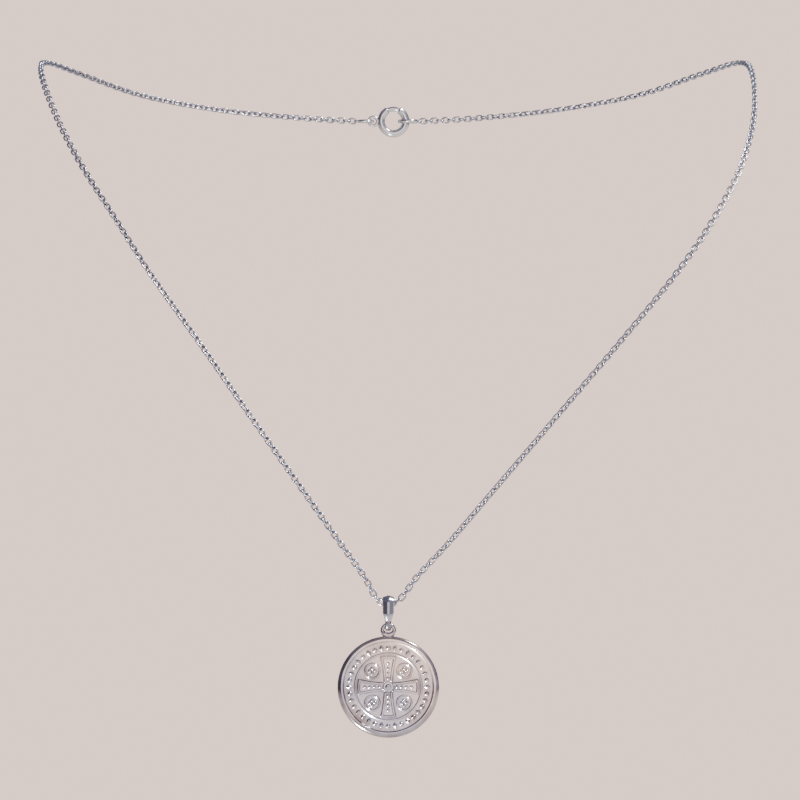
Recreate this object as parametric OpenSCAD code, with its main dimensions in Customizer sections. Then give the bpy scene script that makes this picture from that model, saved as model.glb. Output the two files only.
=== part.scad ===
// A round silver medal on a fine chain, in the form that it has round a neck.
// The chain's two sides run from the nape over the shoulders and meet in the bail
// under the throat. +X is the wearer's left, -Y is the front, +Z is up, and the
// origin is the middle of the neck where the chain lies on the shoulders.

/* [Medal] */
// Diameter over the rim
medal_d = 18; // [16:0.5:22]
// Thickness over the rim
rim_t = 1.8; // [1.5:0.1:2.2]
// Width of the raised rim
rim_w = 1.15; // [0.9:0.05:1.3]
// Bevel on the rim's outer edges
rim_bevel = 0.34; // [0.1:0.02:0.4]
// Thickness of the struck disc inside the rim
field_t = 1; // [0.8:0.1:1.2]
// Height of the relief above the disc
relief_h = 0.32; // [0.1:0.02:0.34]

/* [Cross and ornament] */
// Half width of a cross arm at the middle of the medal
arm_root = 0.7; // [0.5:0.05:1]
// Half width of a cross arm at its outer end
arm_tip = 1.4; // [1.1:0.1:2]
// Pairs of a lozenge and a pellet in the border
border_pairs = 18; // [12:1:20]
// Radius of a border pellet
pellet_r = 0.36; // [0.2:0.02:0.4]
// Radius of the four roundels between the arms
roundel_r = 1.4; // [1.1:0.05:1.45]

/* [Ear and bail] */
// Outer diameter of the ear on the rim
ear_d = 2.8; // [2.7:0.1:3.2]
// Wire diameter of the ear
ear_wire = 0.7; // [0.5:0.05:0.7]
// Width of the bail at the chain
bail_w = 2; // [1.6:0.1:2.4]
// How far below the chain the bail starts to narrow
bail_straight = 1.5; // [0:0.1:2]
// Width of the bail inside the ear
bail_foot_w = 1.1; // [0.7:0.1:1.1]
// Thickness of the bail's strip
bail_wall = 0.4; // [0.3:0.05:0.45]
// Distance from the chain's middle to the ear's wire
bail_drop = 3.6; // [3.2:0.1:5]

/* [Chain] */
// Diameter of the round space that the chain's links fill
chain_d = 1.3; // [1:0.1:1.4]

/* [Clasp] */
// Diameter of the spring ring at the middle of its tube
clasp_ring_d = 4.6; // [4.4:0.1:6]
// Diameter of the spring ring's tube
clasp_tube = 1.4; // [1.2:0.1:1.5]
// Wire diameter of the clasp's eye and of the jump ring
fine_wire = 0.6; // [0.5:0.05:0.65]
// Wire diameter of the end ring
end_wire = 0.7; // [0.6:0.05:0.8]

/* [Hidden] */
$fn = 48;

gap = 0.1;
sink = 0.1;

// The chain's lowest point, which the bail swings about, and the clasp at the nape
vertex = [0, -65, -98];
clasp_at = [1, 34, -6.5];

// Inner radii of the bail's two ends, round the chain and round the ear's wire
bail_top_r = 1.2;
bail_foot_r = 0.71;
nick = 0.02;

// Ear and medal, hung below the bail
ear_r = (ear_d - ear_wire) / 2;
ear_at = vertex - [0, 0, bail_drop + ear_r];
ear_bite = 0.4;
medal_at = ear_at - [0, 0, ear_d / 2 - ear_bite + medal_d / 2];
field_r = medal_d / 2 - rim_w;

// The relief's circles, as shares of the struck disc
line_r = 0.75 * field_r;
line_w = 0.26;
cross_r = 0.69 * field_r;
border_r = 0.88 * field_r;
roundel_at = 0.36 * field_r;
arm_steps = 6;
arm_flare = 2;
lozenge_long = 0.66;
lozenge_wide = 0.42;
roundel_line = 0.26;
petal_r = 0.32;
petal_at = 0.44;
boss_r = 0.66;
boss_rise = 0.05;

// Clasp, along X from its middle: the eye, the jump ring, the end ring and the chain's ends
ring_r = clasp_ring_d / 2;
eye_r = 0.8;
eye_bite = 0.3;
jump_r = 1.3;
end_r = 1.65;
eye_x = -(ring_r + clasp_tube / 2 + eye_r + fine_wire / 2 - eye_bite);
jump_x = eye_x - (eye_r - fine_wire - gap) - jump_r;
end_x = ring_r - clasp_tube / 2 - gap - end_wire / 2 + end_r;
chain_left_x = jump_x - jump_r - fine_wire / 2 - gap;
chain_right_x = end_x + end_r + end_wire / 2 + gap;
knob_angle = 55;
knob_r = 0.35;
knob_h = 0.55;

// The chain's route from the jump ring over the right shoulder, through the bail
// and back over the left shoulder to the end ring
chain_route = concat(
    [clasp_at + [chain_left_x, 0, 0]],
    [[-14, 33.3, -6.1], [-31, 30, -4.7], [-46, 23, -2.3], [-57, 12.5, 1], [-62.8, 2, 2.4]],
    [[-63.5, -9, 0], [-60, -23, -9.5], [-55, -33, -19], [-49, -40, -28.5], [-43, -46, -38]],
    [[-33.5, -52, -51.5], [-24.5, -57, -64.5], [-15, -61, -78], [-9, -63.2, -86.5], [-4.1, -64.5, -93.4]],
    [[-1.8, -64.9, -97.3], vertex, [1.9, -64.9, -97.3]],
    [[4.9, -64.5, -93.4], [10.8, -63.2, -87], [18.5, -61, -78], [30, -57, -64.5], [41, -52, -51.5]],
    [[52, -46, -38], [58.5, -40, -28.5], [63.5, -33, -19], [66.3, -23, -9.5], [66.5, -9, 0]],
    [[64.6, 2, 2.4], [58, 12.5, 1], [46.5, 23, -2.3], [31, 30, -4.7], [15, 33.3, -6.1]],
    [clasp_at + [chain_right_x, 0, 0]]
);
chain_sides = 8;
ring_spacing = 6.2;

// A smooth curve through the route's points: span i of p, at share s of its length
function knot(a, b) = sqrt(norm(b - a));
function mixed(a, b, ta, tb, t) = ((tb - t) * a + (t - ta) * b) / (tb - ta);
function curve_point(p, i, s) =
    let (
        p1 = p[i],
        p2 = p[i + 1],
        p0 = i == 0 ? 2 * p1 - p2 : p[i - 1],
        p3 = i + 2 == len(p) ? 2 * p2 - p1 : p[i + 2],
        t1 = knot(p0, p1),
        t2 = t1 + knot(p1, p2),
        t3 = t2 + knot(p2, p3),
        t = t1 + s * (t2 - t1),
        a1 = mixed(p0, p1, 0, t1, t),
        a2 = mixed(p1, p2, t1, t2, t),
        a3 = mixed(p2, p3, t2, t3, t)
    )
    mixed(mixed(a1, a2, 0, t2, t), mixed(a2, a3, t1, t3, t), t1, t2, t);

// Rings per span: about one every ring_spacing, and three in the short spans of the bend
function span_rings(p, i) =
    let (long = norm(p[i + 1] - p[i])) long < 3 ? 3 : max(1, round(long / ring_spacing));
function curve(p) = [
    for (i = [0 : len(p) - 2]) let (n = span_rings(p, i)) for (k = [0 : n - 1]) curve_point(p, i, k / n),
    p[len(p) - 1]
];
function unit(v) = v / norm(v);
function tangent(c, i) = unit(c[min(i + 1, len(c) - 1)] - c[max(i - 1, 0)]);

// A round tube along the points c, with its first corner level with the curve
module tube(c, r, sides) {
    rings = [
        for (i = [0 : len(c) - 1])
            let (
                t = tangent(c, i),
                level = unit(cross([0, 0, 1], t)),
                upright = cross(t, level)
            )
            for (k = [0 : sides - 1])
                let (a = 360 * k / sides) c[i] + r * (cos(a) * level + sin(a) * upright)
    ];
    last = (len(c) - 1) * sides;
    walls = [
        for (i = [0 : len(c) - 2]) for (k = [0 : sides - 1])
            let (j = (k + 1) % sides)
            [i * sides + k, (i + 1) * sides + k, (i + 1) * sides + j, i * sides + j]
    ];
    caps = [[for (k = [0 : sides - 1]) k], [for (k = [sides - 1 : -1 : 0]) last + k]];
    polyhedron(rings, concat(walls, caps));
}

// A ring of round wire about the Z axis
module wire_ring(r, wire) {
    rotate_extrude() translate([r, 0]) circle(d = wire, $fn = 32);
}

// Turns what is drawn on the XY plane to face the front, with its top upwards
module face_front() {
    rotate([90, 0, 0]) children();
}

// The fine chain, as the round rod that its links fill
module chain() {
    color("silver") tube(curve(chain_route), chain_d / 2, chain_sides);
}

// The spring ring at the nape, with its knob and its eye soldered on
module clasp() {
    color("silver") translate(clasp_at) face_front() {
        wire_ring(ring_r, clasp_tube);
        translate([eye_x, 0, 0]) wire_ring(eye_r, fine_wire);
        rotate([0, 0, knob_angle]) translate([ring_r, 0, clasp_tube / 2 - sink]) cylinder(r = knob_r, h = knob_h);
    }
}

// The small ring between the clasp's eye and the chain
module jump_ring() {
    color("silver") translate(clasp_at + [jump_x, 0, 0]) wire_ring(jump_r, fine_wire);
}

// The larger ring on the chain's other end, which the clasp hooks
module end_ring() {
    color("silver") translate(clasp_at + [end_x, 0, 0]) wire_ring(end_r, end_wire);
}

// A solid teardrop across X: a cylinder at the origin, one of another radius at the foot,
// and a wedge between them whose sides all but touch both
module teardrop(top_r, foot_r, width) {
    lean = asin((top_r - foot_r) / bail_drop);
    side = [cos(lean), -sin(lean)];
    other_side = [-side.x, side.y];
    foot = [0, -bail_drop];
    rotate([90, 0, 90]) translate([0, 0, -width / 2]) {
        cylinder(r = top_r, h = width);
        translate(foot) cylinder(r = foot_r, h = width);
        linear_extrude(width) polygon([
            (top_r - nick) * side,
            foot + (foot_r - nick) * side,
            foot + (foot_r - nick) * other_side,
            (top_r - nick) * other_side
        ]);
    }
}

// The bail's outline from the front, wide at the chain and narrow inside the ear
module bail_front(deep) {
    shoulder = bail_w / 2;
    waist = bail_foot_w / 2;
    top = bail_top_r + bail_wall + sink;
    waist_z = ear_wire - bail_drop;
    low = -bail_drop - bail_foot_r - bail_wall - sink;
    translate([0, deep / 2, 0]) face_front() linear_extrude(deep) polygon([
        [-shoulder, top],
        [shoulder, top],
        [shoulder, -bail_straight],
        [waist, waist_z],
        [waist, low],
        [-waist, low],
        [-waist, waist_z],
        [-shoulder, -bail_straight]
    ]);
}

// The bail, a tapered strip bent to a closed loop round the chain and through the ear
module bail() {
    color("silver") translate(vertex) difference() {
        intersection() {
            teardrop(bail_top_r + bail_wall, bail_foot_r + bail_wall, bail_w + 2 * sink);
            bail_front(2 * (bail_top_r + bail_wall + sink));
        }
        teardrop(bail_top_r, bail_foot_r, bail_w + 4 * sink);
    }
}

// The struck disc with its raised rim, recessed on both sides
module blank() {
    edge = medal_d / 2;
    half = rim_t / 2;
    inner_bevel = min(rim_bevel, half - field_t / 2 - sink);
    rotate_extrude() polygon([
        [0, -field_t / 2],
        [field_r, -field_t / 2],
        [field_r, inner_bevel - half],
        [field_r + inner_bevel, -half],
        [edge - rim_bevel, -half],
        [edge, rim_bevel - half],
        [edge, half - rim_bevel],
        [edge - rim_bevel, half],
        [field_r + inner_bevel, half],
        [field_r, half - inner_bevel],
        [field_r, field_t / 2],
        [0, field_t / 2]
    ]);
}

// One flared arm of the cross, pointing up from the middle
module cross_arm() {
    side = [
        for (k = [0 : arm_steps])
            let (share = k / arm_steps)
            [arm_root + (arm_tip - arm_root) * pow(share, arm_flare), cross_r * share]
    ];
    other_side = [for (k = [arm_steps : -1 : 0]) [-side[k].x, side[k].y]];
    polygon(concat([[0, -arm_root]], side, other_side));
}

module cross_relief() {
    linear_extrude(relief_h + sink) intersection() {
        union() for (a = [0 : 90 : 270]) rotate(a) cross_arm();
        circle(r = cross_r);
    }
    cylinder(r = boss_r, h = relief_h + boss_rise + sink);
}

// A small ring round a four-petalled flower, one between each two arms
module roundel() {
    linear_extrude(relief_h / 2 + sink) difference() {
        circle(r = roundel_r);
        circle(r = roundel_r - roundel_line);
    }
    for (a = [0 : 90 : 270]) rotate(a) translate([petal_at, 0, sink]) sphere(r = petal_r, $fn = 24);
}

// The raised line round the cross, and the lozenges and pellets of the border
module border() {
    step = 360 / border_pairs;
    linear_extrude(relief_h / 2 + sink) difference() {
        circle(r = line_r + line_w / 2);
        circle(r = line_r - line_w / 2);
    }
    for (k = [0 : border_pairs - 1]) {
        rotate(k * step) translate([border_r, 0, 0]) linear_extrude(relief_h / 2 + sink)
            polygon([[lozenge_long, 0], [0, lozenge_wide], [-lozenge_long, 0], [0, -lozenge_wide]]);
        rotate((k + 0.5) * step) translate([border_r, 0, sink]) sphere(r = pellet_r, $fn = 24);
    }
}

// The medal: struck disc, rim, relief and soldered ear in one solid
module medal() {
    color("silver") {
        translate(medal_at) face_front() {
            blank();
            translate([0, 0, field_t / 2 - sink]) {
                cross_relief();
                border();
                for (x = [-1, 1]) for (y = [-1, 1]) translate([x, y, 0] * roundel_at) roundel();
            }
        }
        translate(ear_at) face_front() wire_ring(ear_r, ear_wire);
    }
}

chain();
clasp();
jump_ring();
end_ring();
bail();
medal();
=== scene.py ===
import math
import bpy
import numpy as np
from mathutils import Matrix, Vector


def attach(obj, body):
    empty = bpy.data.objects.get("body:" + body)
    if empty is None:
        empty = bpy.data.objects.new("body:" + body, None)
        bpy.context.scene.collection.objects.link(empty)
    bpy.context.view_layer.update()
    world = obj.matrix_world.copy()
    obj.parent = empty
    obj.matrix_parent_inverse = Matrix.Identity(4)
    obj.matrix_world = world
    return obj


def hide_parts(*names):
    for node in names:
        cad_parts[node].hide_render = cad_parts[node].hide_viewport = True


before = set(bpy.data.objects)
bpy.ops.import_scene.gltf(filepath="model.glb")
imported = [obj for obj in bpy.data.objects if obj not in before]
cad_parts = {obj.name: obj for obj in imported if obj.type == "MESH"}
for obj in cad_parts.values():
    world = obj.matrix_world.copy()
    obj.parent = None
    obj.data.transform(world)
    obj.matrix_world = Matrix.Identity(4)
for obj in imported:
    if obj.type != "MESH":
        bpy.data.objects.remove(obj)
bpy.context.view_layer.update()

# The camera: level with the medal and 1.8 m in front of it, as in the photograph, but with a
# longer lens, so that the necklace fills the picture. Pixels are the photograph's; the chain's
# low point ties them to the model. Sizes are in millimetres until MM makes them metres.
MM = 0.001
PIXEL = 0.545 * MM
camera_distance = 1800 * MM
picture_pixels = 260
picture_centre_px = (405, 295)
photo_centre_px = (400, 400)
low_point_px = (401.2, 361.4)
low_point = (0, -65, -98)
sensor_width = 36


def place_of_pixel(px):
    """The point beside the medal that a pixel of the photograph shows, in metres."""
    right = (px[0] - low_point_px[0]) * PIXEL
    up = (low_point_px[1] - px[1]) * PIXEL
    return Vector(low_point) * MM + Vector((right, 0, up))


camera_data = bpy.data.cameras.new("camera")
camera_data.sensor_width = sensor_width
camera_data.lens = sensor_width * camera_distance / (picture_pixels * PIXEL)
camera = bpy.data.objects.new("camera", camera_data)
bpy.context.scene.collection.objects.link(camera)
camera.location = place_of_pixel(photo_centre_px) - Vector((0, camera_distance, 0))
aim = place_of_pixel(picture_centre_px) - camera.location
camera.rotation_mode = "QUATERNION"
camera.rotation_quaternion = aim.to_track_quat("-Z", "Y")
bpy.context.scene.camera = camera


# The chain: 419 soldered links of drawn silver wire, each hooked through the next.
# Its two sides run forward and down from the clasp and meet at the low point, in the bail.
# Every second link stands across its neighbour, and both sides have rolled a little.
class Value:
    """A value in a node tree, whose operators add Math nodes to the tree."""

    def __init__(self, tree, socket):
        self.tree = tree
        self.socket = socket

    def output(self, name):
        """Another output of the node that this value comes from."""
        return Value(self.tree, self.socket.node.outputs[name])

    def maths(self, operation, *values):
        return self.tree.node("ShaderNodeMath", {"operation": operation}, dict(enumerate(values)))

    def __add__(self, other):
        return self.maths("ADD", self, other)

    def __radd__(self, other):
        return self.maths("ADD", other, self)

    def __sub__(self, other):
        return self.maths("SUBTRACT", self, other)

    def __rsub__(self, other):
        return self.maths("SUBTRACT", other, self)

    def __mul__(self, other):
        return self.maths("MULTIPLY", self, other)

    def __rmul__(self, other):
        return self.maths("MULTIPLY", other, self)

    def __mod__(self, other):
        return self.maths("MODULO", self, other)

    def sign(self):
        return self.maths("SIGN", self)


class Tree:
    """A node tree, with one method that adds a node of any type."""

    def __init__(self, tree):
        self.tree = tree

    def node(self, kind, settings=None, inputs=None, output=0):
        """Add a node, with its settings and its inputs' values or links; gives one output."""
        made = self.tree.nodes.new(kind)
        for name, value in (settings or {}).items():
            setattr(made, name, value)
        for name, value in (inputs or {}).items():
            if isinstance(value, Value):
                self.tree.links.new(value.socket, made.inputs[name])
            else:
                made.inputs[name].default_value = value
        return Value(self, made.outputs[output]) if len(made.outputs) else None


def noise(tree, where, grains, detail=2.0):
    """An even grain from 0 to 1, with that many grains to a metre."""
    return tree.node(
        "ShaderNodeTexNoise", {}, {"Vector": where, "Scale": grains, "Detail": detail}
    )


def blended(tree, share, colour, other):
    """The one colour where share is 0, and the other where it is 1."""
    return tree.node(
        "ShaderNodeMix", {"data_type": "RGBA"}, {0: share, 6: colour, 7: other}, output=2
    )


def silver(name, colour, roughness, tarnish=(0.30, 0.27, 0.25), breath=None, spots=0.5):
    """Polished silver, darker and duller where tarnish and painted shade are laid on it, with fine
    handling marks all over.

    Three numbers on a piece's points say where: recess is for the dark tarnish and the painted
    shade, ground for a struck satin, and breath for a thin tarnish of the colour of that name.
    Spots is the strength of the cloudy patches of tarnish; the tarnish colour is also the shade's.
    """
    # Grains to a metre, then how strongly each shows, dulls or dents the silver.
    patch_grains, satin_grains, breath_grains, mark_grains = 420.0, 5200.0, 130.0, 9000.0
    breath_ragged, patch_least, tarnish_and_shade_dark = 3.0, 0.45, 0.6
    satin_dull, patch_dull, recess_dull = 0.16, 0.05, 0.02
    mark_stretch, mark_strength, mark_depth, satin_depth = (1.0, 1.0, 0.12), 0.05, 0.02 * MM, 2.0
    material = bpy.data.materials.new(name)
    material.use_nodes = True
    material.node_tree.nodes.clear()
    tree = Tree(material.node_tree)
    where = tree.node("ShaderNodeTexCoord", output="Object")
    tarnish_and_shade, ground, breathed = (
        tree.node("ShaderNodeAttribute", {"attribute_name": label}, output="Fac")
        for label in ("tarnish_and_shade", "ground", "breath")
    )
    patches = noise(tree, where, patch_grains, detail=3.0)
    satin = noise(tree, where, satin_grains, detail=3.0)
    breathed = breathed + (noise(tree, where, breath_grains) - 0.5) * breath_ragged
    sheen = blended(tree, breathed, (*colour, 1), (*(breath or colour), 1))
    # Darker where tarnish and painted shade lie, and in random cloudy patches.
    shade_and_tarnish_share = tarnish_and_shade * tarnish_and_shade_dark + (patches - patch_least) * spots
    along_z = tree.node("ShaderNodeMapping", {}, {"Vector": where, "Scale": mark_stretch})
    marks = noise(tree, along_z, mark_grains)
    bump = tree.node(
        "ShaderNodeBump",
        {},
        {
            "Strength": mark_strength,
            "Distance": mark_depth,
            "Height": marks + ground * satin * satin_depth,
        },
    )
    dull = roughness + ground * satin_dull + patches * patch_dull + tarnish_and_shade * recess_dull
    shader = tree.node(
        "ShaderNodeBsdfPrincipled",
        {},
        {
            "Base Color": blended(tree, shade_and_tarnish_share, sheen, (*tarnish, 1)),
            "Metallic": 1.0,
            "Roughness": dull,
            "Normal": bump,
        },
    )
    tree.node("ShaderNodeOutputMaterial", {}, {"Surface": shader})
    return material


def mesh_object(name, points, faces, material, floats=None):
    """A smooth mesh object from points and faces, with one number a point under each name."""
    mesh = bpy.data.meshes.new(name)
    mesh.from_pydata([tuple(p) for p in points], [], faces)
    mesh.polygons.foreach_set("use_smooth", [True] * len(mesh.polygons))
    for label, values in (floats or {}).items():
        mesh.attributes.new(label, "FLOAT", "POINT").data.foreach_set("value", values)
    if material:
        mesh.materials.append(material)
    made = bpy.data.objects.new(name, mesh)
    bpy.context.scene.collection.objects.link(made)
    return made


def smooth_route(points, steps):
    """A smooth curve through the points, with that many steps from each to the next."""
    p = [2 * points[0] - points[1], *points, 2 * points[-1] - points[-2]]
    curve = []
    for p0, p1, p2, p3 in zip(p, p[1:], p[2:], p[3:]):
        t1 = math.sqrt(np.linalg.norm(p1 - p0))
        t2 = t1 + math.sqrt(np.linalg.norm(p2 - p1))
        t3 = t2 + math.sqrt(np.linalg.norm(p3 - p2))
        for t in np.linspace(t1, t2, steps, endpoint=False):
            a1 = ((t1 - t) * p0 + t * p1) / t1
            a2 = ((t2 - t) * p1 + (t - t1) * p2) / (t2 - t1)
            a3 = ((t3 - t) * p2 + (t - t2) * p3) / (t3 - t2)
            b1 = ((t2 - t) * a1 + t * a2) / t2
            b2 = ((t3 - t) * a2 + (t - t1) * a3) / (t3 - t1)
            curve.append(((t2 - t) * b1 + (t - t1) * b2) / (t2 - t1))
    return np.array([*curve, points[-1]])


link_count = 419
link_wire = 0.34
link_width = 1.3
link_slack = 0.02
link_corners = 12
wire_corners = 6
span_steps = 24
clasp_middle = np.array([1, 34, -6.5])
left_end_x = -6.9
right_end_x = 4.9
# The end links reach this far past the route's two ends, round the wire of their rings.
past_left_end = 0.795
past_right_end = 0.895
# The route runs through the same points as the solid tube's.
left_back = [
    (-14, 33.3, -6.1), (-31, 30, -4.7), (-46, 23, -2.3), (-57, 12.5, 1), (-62.8, 2, 2.4),
    (-63.5, -9, 0), (-60, -23, -9.5), (-55, -33, -19), (-49, -40, -28.5), (-43, -46, -38),
]
left_front = [
    (-33.5, -52, -51.5), (-24.5, -57, -64.5), (-15, -61, -78), (-9, -63.2, -86.5),
    (-4.1, -64.5, -93.4),
]
low_bend = [(-1.8, -64.9, -97.3), low_point, (1.9, -64.9, -97.3)]
right_front = [
    (4.9, -64.5, -93.4), (10.8, -63.2, -87), (18.5, -61, -78), (30, -57, -64.5),
    (41, -52, -51.5),
]
right_back = [
    (52, -46, -38), (58.5, -40, -28.5), (63.5, -33, -19), (66.3, -23, -9.5), (66.5, -9, 0),
    (64.6, 2, 2.4), (58, 12.5, 1), (46.5, 23, -2.3), (31, 30, -4.7), (15, 33.3, -6.1),
]
route = [clasp_middle + (left_end_x, 0, 0)]
route += [np.array(p) for p in left_back + left_front + low_bend + right_front + right_back]
route += [clasp_middle + (right_end_x, 0, 0)]
line = smooth_route(route, span_steps)
low = int(np.argmin(np.linalg.norm(line - low_point, axis=1)))
line = np.vstack([line[0] + (past_left_end, 0, 0), line, line[-1] - (past_right_end, 0, 0)])
along = np.concatenate([[0], np.cumsum(np.linalg.norm(np.diff(line, axis=0), axis=1))])
from_low = along - along[low + 1]
link_length = along[-1] / link_count + 2 * link_wire + link_slack
# How far the chain has rolled, at lengths along it from its low point.
roll_places = [-217, -195, -120, -40, -4, 0, 4, 14, 60, 150, 200, 217]
roll_degrees = [0, 45, 30, 12, 6, 0, 8, 30, 38, 45, 45, 0]
roll = np.radians(np.interp(from_low, roll_places, roll_degrees))
chain_silver = silver("chain_silver", (0.45, 0.47, 0.55), 0.2)
chain = mesh_object("chain_links", line * MM, [], None)
chain.data.edges.add(len(line) - 1)
chain.data.edges.foreach_set("vertices", [v for k in range(len(line) - 1) for v in (k, k + 1)])
chain.data.attributes.new("roll", "FLOAT", "POINT").data.foreach_set("value", roll)

links = bpy.data.node_groups.new("links_along_a_path", "GeometryNodeTree")
inlets = {
    label: links.interface.new_socket(label, in_out="INPUT", socket_type=kind).identifier
    for label, kind in (
        ("Path", "NodeSocketGeometry"), ("Links", "NodeSocketInt"), ("Wire", "NodeSocketFloat"),
        ("Length", "NodeSocketFloat"), ("Width", "NodeSocketFloat"),
    )
}
links.interface.new_socket("Chain", in_out="OUTPUT", socket_type="NodeSocketGeometry")
tree = Tree(links)
path = tree.node("NodeGroupInput", output="Path")
wire, length, width = (path.output(label) for label in ("Wire", "Length", "Width"))
curve = tree.node("GeometryNodeMeshToCurve", {}, {"Mesh": path})
joints = tree.node(
    "GeometryNodeResampleCurve",
    {"mode": "COUNT"},
    {"Curve": curve, "Count": path.output("Links") + 1},
)
steps = tree.node("GeometryNodeCurveToMesh", {}, {"Curve": joints})
start = tree.node("GeometryNodeInputMeshEdgeVertices", output="Position 1")
run = tree.node(
    "ShaderNodeVectorMath", {"operation": "SUBTRACT"}, {0: start.output("Position 2"), 1: start}
)
steps = tree.node(
    "GeometryNodeStoreNamedAttribute",
    {"data_type": "FLOAT_VECTOR", "domain": "EDGE"},
    {"Geometry": steps, "Name": "run", "Value": run},
)
places = tree.node("GeometryNodeMeshToPoints", {"mode": "EDGES"}, {"Mesh": steps})
read_run = tree.node(
    "GeometryNodeInputNamedAttribute", {"data_type": "FLOAT_VECTOR"}, {"Name": "run"}
)
read_roll = tree.node("GeometryNodeInputNamedAttribute", {"data_type": "FLOAT"}, {"Name": "roll"})
onward = tree.node("FunctionNodeAlignRotationToVector", {"axis": "X"}, {"Vector": read_run})
level = tree.node(
    "FunctionNodeAlignRotationToVector",
    {"axis": "Z", "pivot_axis": "X"},
    {"Rotation": onward, "Vector": (0, 0, 1)},
)
across = tree.node("GeometryNodeInputIndex") % 2 * (math.pi / 2)
about_run = tree.node(
    "FunctionNodeAxisAngleToRotation", {}, {"Axis": (1, 0, 0), "Angle": across + read_roll}
)
turned = tree.node(
    "FunctionNodeRotateRotation",
    {"rotation_space": "LOCAL"},
    {"Rotation": level, "Rotate By": about_run},
)
hoop = tree.node(
    "GeometryNodeCurvePrimitiveCircle",
    {},
    {"Resolution": link_corners, "Radius": (width - wire) * 0.5},
)
half_corner = math.pi / link_corners
hoop = tree.node("GeometryNodeTransform", {}, {"Geometry": hoop, "Rotation": (0, 0, half_corner)})
x = tree.node("ShaderNodeSeparateXYZ", {}, {0: tree.node("GeometryNodeInputPosition")})
apart = tree.node("ShaderNodeCombineXYZ", {}, {0: x.sign() * (length - width) * 0.5})
oval = tree.node("GeometryNodeSetPosition", {}, {"Geometry": hoop, "Offset": apart})
section = tree.node(
    "GeometryNodeCurvePrimitiveCircle", {}, {"Resolution": wire_corners, "Radius": wire * 0.5}
)
link = tree.node("GeometryNodeCurveToMesh", {}, {"Curve": oval, "Profile Curve": section})
hung = tree.node(
    "GeometryNodeInstanceOnPoints", {}, {"Points": places, "Instance": link, "Rotation": turned}
)
made = tree.node("GeometryNodeRealizeInstances", {}, {"Geometry": hung})
made = tree.node("GeometryNodeSetShadeSmooth", {}, {"Geometry": made})
made = tree.node("GeometryNodeSetMaterial", {}, {"Geometry": made, "Material": chain_silver})
tree.node("NodeGroupOutput", {}, {"Chain": made})
modifier = chain.modifiers.new("links", "NODES")
modifier.node_group = links
modifier[inlets["Links"]] = link_count
modifier[inlets["Wire"]] = link_wire * MM
modifier[inlets["Length"]] = link_length * MM
modifier[inlets["Width"]] = link_width * MM
evaluated = chain.evaluated_get(bpy.context.evaluated_depsgraph_get())
chain_mesh = bpy.data.meshes.new_from_object(evaluated)
chain.modifiers.remove(modifier)
chain.data = chain_mesh
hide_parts("chain")
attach(chain, "root")


# The jump ring and the end ring: small rings of round silver wire, soldered shut.
# The one joins the clasp's eye to the chain, and the clasp hooks the other, at its far end.
ring_silver = silver("ring_silver", (0.74, 0.74, 0.76), 0.16)
for ring in ("jump_ring", "end_ring"):
    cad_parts[ring].data.materials.clear()
    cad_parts[ring].data.materials.append(ring_silver)


# The spring ring: a silver tube bent to a ring, whose gap a thinner wire on a spring shuts.
# A small knob on that wire is pushed back with a nail, and an eye is soldered to the side.
def bent_tube(middle, radii, sides):
    """A tube bent to a ring in the XZ plane, from its (bend, thickness) all the way round."""
    points, faces = [], []
    turns = np.linspace(0, 2 * math.pi, len(radii), endpoint=False)
    for i, (turn, (bend, thick)) in enumerate(zip(turns, radii)):
        j = (i + 1) % len(radii)
        for k in range(sides):
            n = (k + 1) % sides
            a = 2 * math.pi * k / sides
            out = bend + thick * math.cos(a)
            point = (out * math.cos(turn), thick * math.sin(a), out * math.sin(turn))
            points.append(middle + point)
            faces.append((i * sides + k, i * sides + n, j * sides + n, j * sides + k))
    return points, faces


def joined(parts):
    """One list of points and one of faces from several pairs of them."""
    points, faces = [], []
    for some_points, some_faces in parts:
        base = len(points)
        points += [tuple(p) for p in some_points]
        faces += [tuple(base + v for v in face) for face in some_faces]
    return points, faces


def lathe(profile, sides):
    """Points and faces of a turned solid about Y, from (radius, y) pairs; both ends are poles."""
    points = [(0, profile[0][1], 0)]
    for radius, y in profile[1:-1]:
        for k in range(sides):
            a = 2 * math.pi * k / sides
            points.append((radius * math.cos(a), y, radius * math.sin(a)))
    points.append((0, profile[-1][1], 0))
    faces = []
    rows = len(profile) - 2
    for k in range(sides):
        n = (k + 1) % sides
        faces.append((0, 1 + n, 1 + k))
        faces.append((len(points) - 1, 1 + (rows - 1) * sides + k, 1 + (rows - 1) * sides + n))
        for i in range(rows - 1):
            a, b = 1 + i * sides, 1 + (i + 1) * sides
            faces.append((a + k, a + n, b + n, b + k))
    return np.array(points), faces


clasp_bend, tube_thick, pin_thick = 2.3, 0.7, 0.46
pin_from, pin_to, tube_end = 62, 118, 3
clasp_steps, clasp_corners = 180, 24
radii = []
for step in range(clasp_steps):
    degrees = 360 * step / clasp_steps
    inside_gap = min(degrees - pin_from, pin_to - degrees)
    share = min(max(inside_gap / tube_end + 0.5, 0), 1)
    radii.append((clasp_bend, tube_thick + (pin_thick - tube_thick) * share))
ring_part = bent_tube(clasp_middle, radii, clasp_corners)
eye_bend, eye_thick, eye_sunk = 0.8, 0.3, 0.3
eye_steps, eye_corners = 48, 16
eye_x = -(clasp_bend + tube_thick + eye_bend + eye_thick - eye_sunk)
eye_part = bent_tube(
    clasp_middle + (eye_x, 0, 0), [(eye_bend, eye_thick)] * eye_steps, eye_corners
)
knob_turn, knob_sunk, knob_corners = math.radians(55), 0.1, 20
knob_profile = [
    (0, 0.3), (0.2, 0.3), (0.2, -0.1), (0.3, -0.22), (0.35, -0.35), (0.33, -0.46), (0.2, -0.54),
    (0, -0.55),
]
knob_points, knob_faces = lathe(knob_profile, knob_corners)
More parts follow.
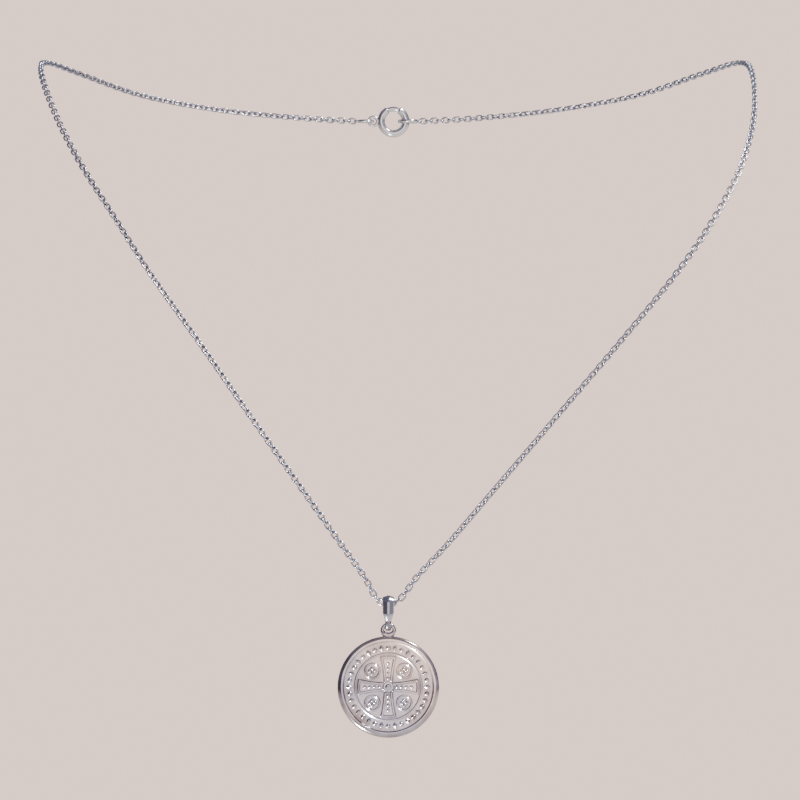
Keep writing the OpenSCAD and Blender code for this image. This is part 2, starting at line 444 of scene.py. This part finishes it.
knob_place = clasp_middle + (
    clasp_bend * math.cos(knob_turn), -tube_thick + knob_sunk, clasp_bend * math.sin(knob_turn)
)
points, faces = joined([ring_part, eye_part, (knob_points + knob_place, knob_faces)])
clasp_silver = silver("clasp_silver", (0.75, 0.75, 0.77), 0.15)
clasp = mesh_object("spring_ring", np.array(points) * MM, faces, clasp_silver)
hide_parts("clasp")
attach(clasp, "root")


# The bail: a ridged strip of silver, tapered and bent to a long closed loop, upright at its
# wide top and leaning in to its waist. The chain runs through the top, and the narrow foot
# goes through the medal's ear. Painted shade darkens its top and its foot; the shoulder is left
# bright.
bail_top_r, bail_foot_r, bail_drop, bail_wall = 1.2, 0.71, 3.6, 0.4
bail_w, bail_foot_w, bail_straight, bail_taper_end = 2.0, 1.1, 1.5, 0.7 - bail_drop
bail_shoulder, bail_waist, bail_foot_y, foot_round = -1.65, -3.15, 0.68, 0.9
# Shares of half the loop at which its arch, its upright side and its leaning part end.
arch_share, side_share, lean_share = 0.25, 0.4, 0.75
side_length, lean_length = 0.15, 0.35
loop_places, bail_corners = 61, 24
strip_round, strip_edge, strip_crown = 0.8, 0.2, 0.85
strip_back, strip_back_round = 0.25, 0.35
ridge_places, foot_flatness = [-2.6, -1.5], 4
# Painted shade along the bail's height: strongest at the foot in the ear, none on the shoulder,
# full at the top.
painted_shade_places, painted_shade_depths = [-3.1, -2.8, -2.2, -1.8], [1.7, 0, 0, 1]


def bail_inside(share):
    """A place on half of the loop's inner outline: top at share 0, upright side, foot at 1."""
    if share < arch_share:
        a = math.radians(90 - 360 * share)
        return bail_top_r * math.cos(a), bail_top_r * math.sin(a)
    if share < side_share:
        return bail_top_r, bail_shoulder * (share - arch_share) / side_length
    if share < lean_share:
        t = (share - side_share) / lean_length
        y = bail_top_r + (bail_foot_y - bail_top_r) * t * t * (3 - 2 * t)
        return y, bail_shoulder + (bail_waist - bail_shoulder) * t
    a = math.radians(90 * (share - lean_share) / (1 - lean_share))
    z = bail_waist - (bail_drop + bail_foot_r + bail_waist) * math.sin(a)
    return bail_foot_y * math.cos(a) ** foot_round, z


half_loop = [bail_inside(share) for share in np.linspace(0, 1, loop_places)]
loop = [(-y, z) for y, z in half_loop] + [(y, z) for y, z in half_loop[-2:0:-1]]
points, tarnish_and_shade, faces = [], [], []
for i, (y, z) in enumerate(loop):
    j = (i + 1) % len(loop)
    before, after = loop[i - 1], loop[j]
    out = np.array([-(after[1] - before[1]), after[0] - before[0]])
    out = out / -np.linalg.norm(out)
    half = np.interp(z, [bail_taper_end, -bail_straight], [bail_foot_w / 2, bail_w / 2])
    ridge = np.interp(z, ridge_places, [0, 1])
    for k in range(bail_corners):
        n = (k + 1) % bail_corners
        b = 2 * math.pi * k / bail_corners
        wide = math.copysign(abs(math.cos(b)) ** strip_round, math.cos(b))
        if 0 < k < bail_corners / 2:
            proud = (1 - abs(wide)) * ridge + (1 - abs(wide) ** foot_flatness) * (1 - ridge)
            thick = bail_wall * (strip_edge + strip_crown * proud)
        else:
            thick = bail_wall * strip_back * (1 - abs(math.sin(b)) ** strip_back_round)
        place = (half * wide, y + thick * out[0], z + thick * out[1])
        points.append(np.array(low_point) + place)
        # Painted shade, by height along the bail.
        tarnish_and_shade.append(float(np.interp(z, painted_shade_places, painted_shade_depths)))
        faces.append([s * bail_corners + t for s, t in ((i, k), (i, n), (j, n), (j, k))])
bail_silver = silver("bail_silver", (0.60, 0.60, 0.66), 0.14, tarnish=(0.29, 0.29, 0.33))
bail = mesh_object("bail_strip", np.array(points) * MM, faces, bail_silver, {"tarnish_and_shade": tarnish_and_shade})
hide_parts("bail")
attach(bail, "bail")


# The medal: a disc of silver, struck with a cross inside a raised line, four roundels between
# its arms and a border of lozenges and pellets. Its rim is polished, its ground satin and its
# back plain. Its ear is a ring of round wire, thicker where it is soldered to the rim.
medal_middle = np.array([0, -65, -112.65])
medal_r, rim_w, rim_half, field_half = 9.0, 1.15, 0.9, 0.5
field_r = medal_r - rim_w
field_dish, back_dish, field_margin, margin_soft = 0.08, 0.05, 0.12, 0.2
line_r, cross_r, border_r = 0.75 * field_r, 0.69 * field_r, 0.88 * field_r
relief_h, edge_soft = 0.32, 0.16
arm_root, arm_tip, arm_flare, arm_longest = 0.7, 1.4, 2.0, 1.2
outline_w, arm_sunk = 0.34, 0.4
bead_places, bead_r, bead_h = (1.55, 2.4, 3.25, 4.1), 0.26, 0.42
boss_ground_r, boss_ring_r, boss_ring_h, boss_ring_soft = 1.1, 0.95, 0.6, 0.12
boss_r, boss_h = 0.66, 1.05
roundel_at, roundel_r, roundel_h = 0.36 * field_r, 1.27, 0.55
petal_at, petal_r, petal_h = 0.44, 0.32, 0.8
thread_half, thread_soft, thread_h = 0.13, 0.1, 0.5
border_count, lozenge_half_l, lozenge_half_w, lozenge_h, lozenge_flat = 18, 0.66, 0.42, 0.7, 1.5
pellet_r, pellet_h = 0.36, 0.8


def edge(inside, soft):
    """0 outside an outline and 1 inside it, over a slope of width soft."""
    t = np.clip(inside / soft + 0.5, 0, 1)
    return t * t * (3 - 2 * t)


def dome(distance, radius):
    """The height of a round pellet, from 0 at its edge to 1 at its top."""
    return np.sqrt(np.clip(1 - (distance / radius) ** 2, 0, 1))


def relief(x, z):
    """How far the struck front stands above its ground at a place on the disc."""
    r = np.hypot(x, z)
    far, near = np.maximum(abs(x), abs(z)), np.minimum(abs(x), abs(z))
    arm = arm_root + (arm_tip - arm_root) * np.clip(far / cross_r, 0, arm_longest) ** arm_flare
    inside = np.minimum(arm - near, cross_r - r)
    cross = edge(inside, edge_soft) - arm_sunk * edge(inside - outline_w, edge_soft)
    for place in bead_places:
        cross = cross + bead_h * dome(np.hypot(far - place, near), bead_r)
    boss = np.maximum(boss_ring_h * edge(boss_ring_r - r, boss_ring_soft), dome(r, boss_r) * boss_h)
    cross = np.where(r < boss_ground_r, boss, cross)
    u, v = abs(x) - roundel_at, abs(z) - roundel_at
    roundel = roundel_h * edge(thread_half - abs(np.hypot(u, v) - roundel_r), thread_soft)
    for a, b in ((1, 0), (-1, 0), (0, 1), (0, -1)):
        petal = dome(np.hypot(u - petal_at * a, v - petal_at * b), petal_r)
        roundel = np.maximum(roundel, petal_h * petal)
    step = 2 * math.pi / border_count
    turn = np.arctan2(z, x) / step
    beside = (turn - np.round(turn)) * step * border_r
    slope = 1 - abs(r - border_r) / lozenge_half_l - abs(beside) / lozenge_half_w
    lozenge = lozenge_h * np.clip(lozenge_flat * slope, 0, 1)
    between = (turn - np.floor(turn) - 0.5) * step * border_r
    pellet = pellet_h * dome(np.hypot(r - border_r, between), pellet_r)
    thread = thread_h * edge(thread_half - abs(r - line_r), thread_soft)
    return relief_h * np.maximum.reduce([cross, roundel, lozenge, pellet, thread])


# Painted shade in the corner inside the rim, strongest at the lower left.
rim_corner_shades = [
    # turn, spread in degrees; radius, reach in mm; depth
    (228, 30, 7.7, 0.7, 1.0), (318, 26, 6.9, 0.7, 0.7), (182, 28, 7.2, 0.7, 0.4),
]


def rim_corner_shade(x, z):
    """The painted shade in the corner inside the rim at a place, besides the relief's own tarnish.
    """
    total = 0
    for turn, spread, radius, reach, depth in rim_corner_shades:
        off_turn = (np.degrees(np.arctan2(z, x)) - turn + 180) % 360 - 180
        off_radius = np.hypot(x, z) - radius
        total = total + depth * np.exp(-((off_turn / spread) ** 2) - (off_radius / reach) ** 2)
    return total


ring_sizes = [(2.2, 480), (1.1, 240), (0.4, 120), (0, 60)]


def ring_size(radius):
    """How many points a ring of the disc has: half as many at each step to the middle."""
    return next(size for least, size in ring_sizes if radius > least)


first_ring, front_rings = 0.08, 92
front = [(r, None) for r in np.linspace(first_ring, field_r, front_rings)]
# The rim's outline, from the field outwards: a bank, a flat land, a roll and a straight edge.
bank_w, rim_land, rim_straight = 0.22, (8.15, 0.91), 0.2
roll_from, roll_w, roll_base, roll_h = 8.2, 0.8, 0.3, 0.61
half_rim = [
    (field_r + bank_w * t, field_half + (rim_half - field_half) * t * t * (3 - 2 * t))
    for t in (0.2, 0.4, 0.6, 0.8, 1)
]
half_rim += [rim_land]
half_rim += [
    (roll_from + roll_w * math.sin(a), roll_base + roll_h * math.cos(a))
    for a in np.radians(range(0, 91, 6))
]
half_rim += [(medal_r, rim_straight)]
rim = half_rim + [(radius, -height) for radius, height in reversed(half_rim)]
back = [
    (r, -field_half + back_dish * (1 - (r / field_r) ** 2))
    for r in (field_r, 6.6, 5.2, 3.8, 2.4, 1.2, 0.5)
]
back_satin = 0.4
# A place is hollow where the relief about it, hollow_look away, stands above it.
hollow_look, hollow_deep, satin_until = 0.2, 0.1, 0.1
about = [
    (hollow_look * math.cos(b), hollow_look * math.sin(b)) for b in np.radians(range(0, 360, 45))
]
# Painted shade darkens the rim from 8.3 mm outwards, reaching its full 0.8 over 0.3 mm. The breath
# grows to the lower left.
rim_shade_from, rim_shade_over, rim_painted_shade = 8.3, 0.3, 0.8
breath_middle, breath_right, breath_up = 0.55, 0.1, 0.07
points, tarnish_and_shade, ground, breath, rings = [], [], [], [], []


def add_point(x, z, height, hollow, satin):
    """One point of the disc, with what its silver shows there."""
    points.append((medal_middle[0] + x, medal_middle[1] - height, medal_middle[2] + z))
    tarnish_and_shade.append(hollow)
    ground.append(satin)
    breath.append(min(max(breath_middle - breath_right * x - breath_up * z, 0), 1))


add_point(0, 0, field_half + float(relief(np.zeros(1), np.zeros(1))[0]), 0, 0)
for radius, height in front + rim + back:
    count = ring_size(radius)
    a = np.arange(count) * 2 * math.pi / count
    x, z = radius * np.cos(a), radius * np.sin(a)
    rings.append((len(points), count))
    if height is None:
        inside_rim = float(edge(np.float64(field_r - field_margin - radius), margin_soft))
        raised = relief(x, z) * inside_rim
        around = sum(relief(x + u, z + v) for u, v in about) / len(about)
        # Tarnish in the relief's hollows, plus painted shade in the corner inside the rim.
        hollow = np.clip((around - raised) / hollow_deep, 0, 1) + rim_corner_shade(x, z)
        dish = field_dish * (1 - (radius / field_r) ** 2)
        for k in range(count):
            satin = 1 - min(1, raised[k] / satin_until)
            add_point(x[k], z[k], field_half - dish + raised[k], hollow[k], satin)
    else:
        # Painted shade on the rim's outer part, on front and back.
        shade_and_tarnish_share = rim_painted_shade * float(np.clip((radius - rim_shade_from) / rim_shade_over, 0, 1))
        satin = back_satin if radius <= field_r else 0
        for k in range(count):
            # Painted shade in the corner inside the rim, on the front only.
            corner = float(rim_corner_shade(x[k], z[k])) if height > 0 else 0
            add_point(x[k], z[k], height, shade_and_tarnish_share + corner, satin)
add_point(0, 0, -field_half + back_dish, 0, back_satin)
faces = []
for (a, count), (b, other) in zip(rings, rings[1:]):
    if count == other:
        for k in range(count):
            n = (k + 1) % count
            faces.append((a + k, b + k, b + n, a + n))
    else:
        coarse, fine, few, flip = (a, b, count, False) if count < other else (b, a, other, True)
        for k in range(few):
            c0, c1 = coarse + k, coarse + (k + 1) % few
            f0, f1, f2 = fine + 2 * k, fine + 2 * k + 1, fine + (2 * k + 2) % (2 * few)
            for tri in ((c0, f1, f0), (c0, c1, f1), (c1, f2, f1)):
                faces.append(tri if flip else tri[::-1])
first, count = rings[0]
faces += [(0, first + k, first + (k + 1) % count) for k in range(count)]
last, count = rings[-1]
faces += [(len(points) - 1, last + (k + 1) % count, last + k) for k in range(count)]
ear_bend, ear_thick, ear_swell, ear_steps, ear_corners = 1.05, 0.35, 0.19, 72, 20
base_from, base_soft, ear_tarnish, ear_breath = 0.35, 1.1, 0.3, 1.3
ear_middle = np.array(low_point) - (0, 0, bail_drop) - (0, 0, ear_bend)
ear_turns = [2 * math.pi * k / ear_steps for k in range(ear_steps)]
swells = [ear_swell * float(edge(-math.sin(turn) - base_from, base_soft)) for turn in ear_turns]
ear_points, ear_faces = bent_tube(
    ear_middle, [(ear_bend - swell, ear_thick + swell) for swell in swells], ear_corners
)
tarnish_and_shade += [ear_tarnish] * len(ear_points)
ground += [0] * len(ear_points)
breath += [ear_breath] * len(ear_points)
points, faces = joined([(points, faces), (ear_points, ear_faces)])
medal_silver = silver(
    "medal_silver", (0.95, 0.80, 0.74), 0.09,
    tarnish=(0.31, 0.27, 0.27), breath=(0.62, 0.61, 0.70), spots=2.0,
)
medal = mesh_object(
    "struck_medal", np.array(points) * MM, faces, medal_silver,
    {"tarnish_and_shade": tarnish_and_shade, "ground": ground, "breath": breath},
)
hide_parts("medal")
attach(medal, "medal")


# The floor and the light: a plain pale floor well below the necklace, and a plain pale room.
# The silver mirrors a dim room with four soft bright patches: in front, at the front right,
# above and behind. Two small lamps give the rim and the bail their glints.
floor_z = -190 * MM
floor_r = 1.2
floor_corners = 96
turns = np.arange(floor_corners) * 2 * math.pi / floor_corners
floor_points = [(floor_r * math.cos(t), floor_r * math.sin(t), floor_z) for t in turns]
floor_material = bpy.data.materials.new("pale_floor")
floor_material.use_nodes = True
floor_shader = floor_material.node_tree.nodes["Principled BSDF"]
floor_shader.inputs["Base Color"].default_value = (0.5, 0.46, 0.43, 1)
floor_shader.inputs["Roughness"].default_value = 0.9
floor = mesh_object("floor", floor_points, [tuple(range(floor_corners))], floor_material)

world = bpy.data.worlds.new("room")
bpy.context.scene.world = world
world.use_nodes = True
world.node_tree.nodes.clear()
room = Tree(world.node_tree)
outlook = room.node("ShaderNodeTexCoord", output="Generated")


def glow(where, inner, outer, colour):
    """A soft patch of the room: full within inner degrees of a direction, none past outer."""
    toward = tuple(Vector(where).normalized())
    near = room.node(
        "ShaderNodeVectorMath", {"operation": "DOT_PRODUCT"}, {0: outlook, 1: toward}, output=1
    )
    share = room.node(
        "ShaderNodeMapRange",
        {"interpolation_type": "SMOOTHSTEP"},
        {0: near, 1: math.cos(math.radians(outer)), 2: math.cos(math.radians(inner))},
    )
    return room.node("ShaderNodeVectorMath", {"operation": "SCALE"}, {0: colour, 3: share})


room_light = (0.12, 0.12, 0.16)
for patch in (
    glow((0.05, -1, 0.14), 12, 27, (1.82, 1.46, 1.31)),
    glow((0.75, -0.65, 0.3), 12, 45, (0.32, 0.33, 0.42)),
    glow((-0.1, -0.5, 1), 12, 55, (0.16, 0.16, 0.2)),
    glow((0, 1, 0.1), 30, 85, (0.25, 0.25, 0.26)),
):
    room_light = room.node("ShaderNodeVectorMath", {"operation": "ADD"}, {0: room_light, 1: patch})
mirrored = room.node("ShaderNodeBackground", {}, {"Color": room_light})
seen = room.node("ShaderNodeBackground", {}, {"Color": (1.75, 1.25, 1.08, 1)})
by_camera = room.node("ShaderNodeLightPath", output="Is Camera Ray")
both = room.node("ShaderNodeMixShader", {}, {0: by_camera, 1: mirrored, 2: seen})
room.node("ShaderNodeOutputWorld", {}, {"Surface": both})

lamp_aim = Vector((0, -0.06, -0.1))


def lamp(name, place, size, power, spread=180):
    """A soft square white lamp that faces the medal."""
    data = bpy.data.lights.new(name, "AREA")
    data.size = size
    data.energy = power
    data.spread = math.radians(spread)
    made = bpy.data.objects.new(name, data)
    bpy.context.scene.collection.objects.link(made)
    made.location = place
    made.visible_camera = False
    made.rotation_mode = "QUATERNION"
    made.rotation_quaternion = (lamp_aim - made.location).to_track_quat("-Z", "Y")


lamp("glint_high", (0.56, -0.17, 0.9), 0.08, 30)
lamp("glint_low", (-0.0475, -0.107, -0.181), 0.012, 0.032, 50)
